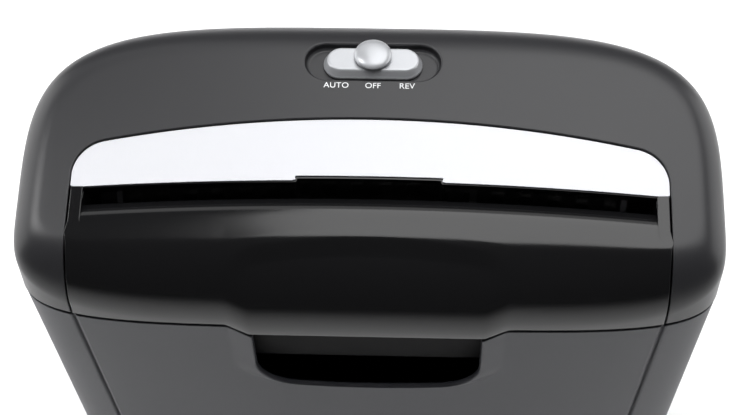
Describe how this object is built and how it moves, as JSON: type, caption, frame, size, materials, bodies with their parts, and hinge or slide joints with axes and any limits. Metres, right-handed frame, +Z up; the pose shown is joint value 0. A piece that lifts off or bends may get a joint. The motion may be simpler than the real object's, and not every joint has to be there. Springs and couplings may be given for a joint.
{
  "type": "paper shredder",
  "caption": "Desktop strip-cut paper shredder: a lift-off head with paper slot, mode slider and cutter block on a tapered bin with a hand opening.",
  "frame": {"origin": "centre of the footprint on the floor, under the middle of the overall box", "axes": "+X to the right seen from the front, +Y towards the back, +Z up"},
  "size_m": [0.306, 0.1466, 0.3157],
  "materials": {
    "head_plastic": "satin charcoal moulding",
    "panel_plastic": "semi-gloss black moulding",
    "label_silver": "satin silver",
    "slider_silver": "silver-painted plastic",
    "bin_plastic": "fine-grained blue-black moulding",
    "tray_plastic": "black moulding",
    "frame_steel": "zinc-plated sheet",
    "cutter_steel": "hardened, oiled",
    "rod_steel": "bright drawn",
    "bronze": "sintered bronze",
    "spacer_plastic": "natural acetal",
    "stripper_plastic": "black acetal",
    "gear_steel": "sintered steel",
    "gear_nylon": "natural nylon",
    "spring_steel": "blackened",
    "can_steel": "plated can",
    "magnet": "ferrite",
    "winding": "enamelled copper on laminations",
    "copper": "bare copper",
    "carbon": "carbon",
    "board_green": "solder resist",
    "relay_blue": "moulded case",
    "black_part": "moulded case",
    "foil_sleeve": "shrink sleeve",
    "ceramic": "ceramic tube with caps",
    "acetal": "natural acetal",
    "plunger_red": "red acetal",
    "grommet": "soft grommet"
  },
  "bodies": {
    "bin": {"bin": "bin_plastic"},
    "slider": {"slider_plate": "slider_silver", "slider_button": "slider_silver", "switch_carriage": "acetal"},
    "front_cutter": {"front_cutter_shaft": "cutter_steel", "front_cutter_discs": "cutter_steel", "front_spacers": "spacer_plastic", "front_timing_gear": "gear_steel", "front_clips": "spring_steel"},
    "rear_cutter": {"rear_cutter_shaft": "cutter_steel", "rear_cutter_discs": "cutter_steel", "rear_spacers": "spacer_plastic", "rear_timing_gear": "gear_steel", "drive_gear": "gear_steel", "rear_clips": "spring_steel"},
    "second_gear": {"second_gear": "gear_nylon"},
    "first_gear": {"first_gear": "gear_nylon"},
    "rotor": {"motor_pinion": "copper", "motor_shaft": "rod_steel", "armature": "winding", "commutator": "copper"},
    "sensor": {"sensor_lever": "acetal"},
    "plunger": {"interlock_plunger": "plunger_red"},
    "head": {"top_cover": "head_plastic", "front_panel": "panel_plastic", "label_plate": "label_silver", "base_housing": "tray_plastic", "mode_switch": "black_part", "left_side_plate": "frame_steel", "right_side_plate": "frame_steel", "tie_rods": "rod_steel", "shaft_bushes": "bronze", "front_stripper": "stripper_plastic", "rear_stripper": "stripper_plastic", "gear_pins": "rod_steel", "gear_cover": "tray_plastic", "motor_can": "can_steel", "motor_magnets": "magnet", "motor_brushes": "carbon", "motor_end_cap": "black_part", "motor_bushes": "bronze", "motor_screws": "rod_steel", "thermal_cutout": "acetal", "circuit_board": "board_green", "relay": "relay_blue", "rectifier": "black_part", "capacitor": "foil_sleeve", "fuse_holder": "ceramic", "sensor_switch": "black_part", "interlock_switch": "black_part", "cord_inlet": "grommet", "cover_screws": "rod_steel", "cover_plate_screws": "rod_steel"}
  },
  "joints": [
    {"name": "head_lift", "type": "slide", "parent": "bin", "child": "head", "axis": [0, 0, 1], "range_m": [0, 0.12]},
    {"name": "mode_slide", "type": "slide", "parent": "head", "child": "slider", "axis": [1, 0, 0], "range_m": [-0.007, 0.007]},
    {"name": "rear_cutter_spin", "type": "hinge", "parent": "head", "child": "rear_cutter", "pos_m": [0, -0.00625, 0.25], "axis": [1, 0, 0], "continuous": true},
    {"name": "front_cutter_spin", "type": "hinge", "parent": "head", "child": "front_cutter", "pos_m": [0, -0.03725, 0.25], "axis": [1, 0, 0], "continuous": true},
    {"name": "second_gear_spin", "type": "hinge", "parent": "head", "child": "second_gear", "pos_m": [0, 0.01464, 0.2749], "axis": [1, 0, 0], "continuous": true},
    {"name": "first_gear_spin", "type": "hinge", "parent": "head", "child": "first_gear", "pos_m": [0, 0.02647, 0.24952], "axis": [1, 0, 0], "continuous": true},
    {"name": "rotor_spin", "type": "hinge", "parent": "head", "child": "rotor", "pos_m": [0, 0.03064, 0.22588], "axis": [1, 0, 0], "continuous": true},
    {"name": "sensor_swing", "type": "hinge", "parent": "head", "child": "sensor", "pos_m": [0.045, -0.01375, 0.282], "axis": [1, 0, 0], "range_deg": [0, 20], "stiffness_Nm_per_rad": 0.003, "springref_deg": -11.46},
    {"name": "plunger_slide", "type": "slide", "parent": "head", "child": "plunger", "axis": [0, 0, -1], "range_m": [0, 0.0024]}
  ],
  "couplings": [
    {"joint": "front_cutter_spin", "follows": "rear_cutter_spin", "ratio": -1},
    {"joint": "second_gear_spin", "follows": "rear_cutter_spin", "ratio": -3.3333},
    {"joint": "first_gear_spin", "follows": "rear_cutter_spin", "ratio": 12.222},
    {"joint": "rotor_spin", "follows": "rear_cutter_spin", "ratio": -61.111},
    {"joint": "plunger_slide", "follows": "head_lift", "ratio": 0.02}
  ]
}
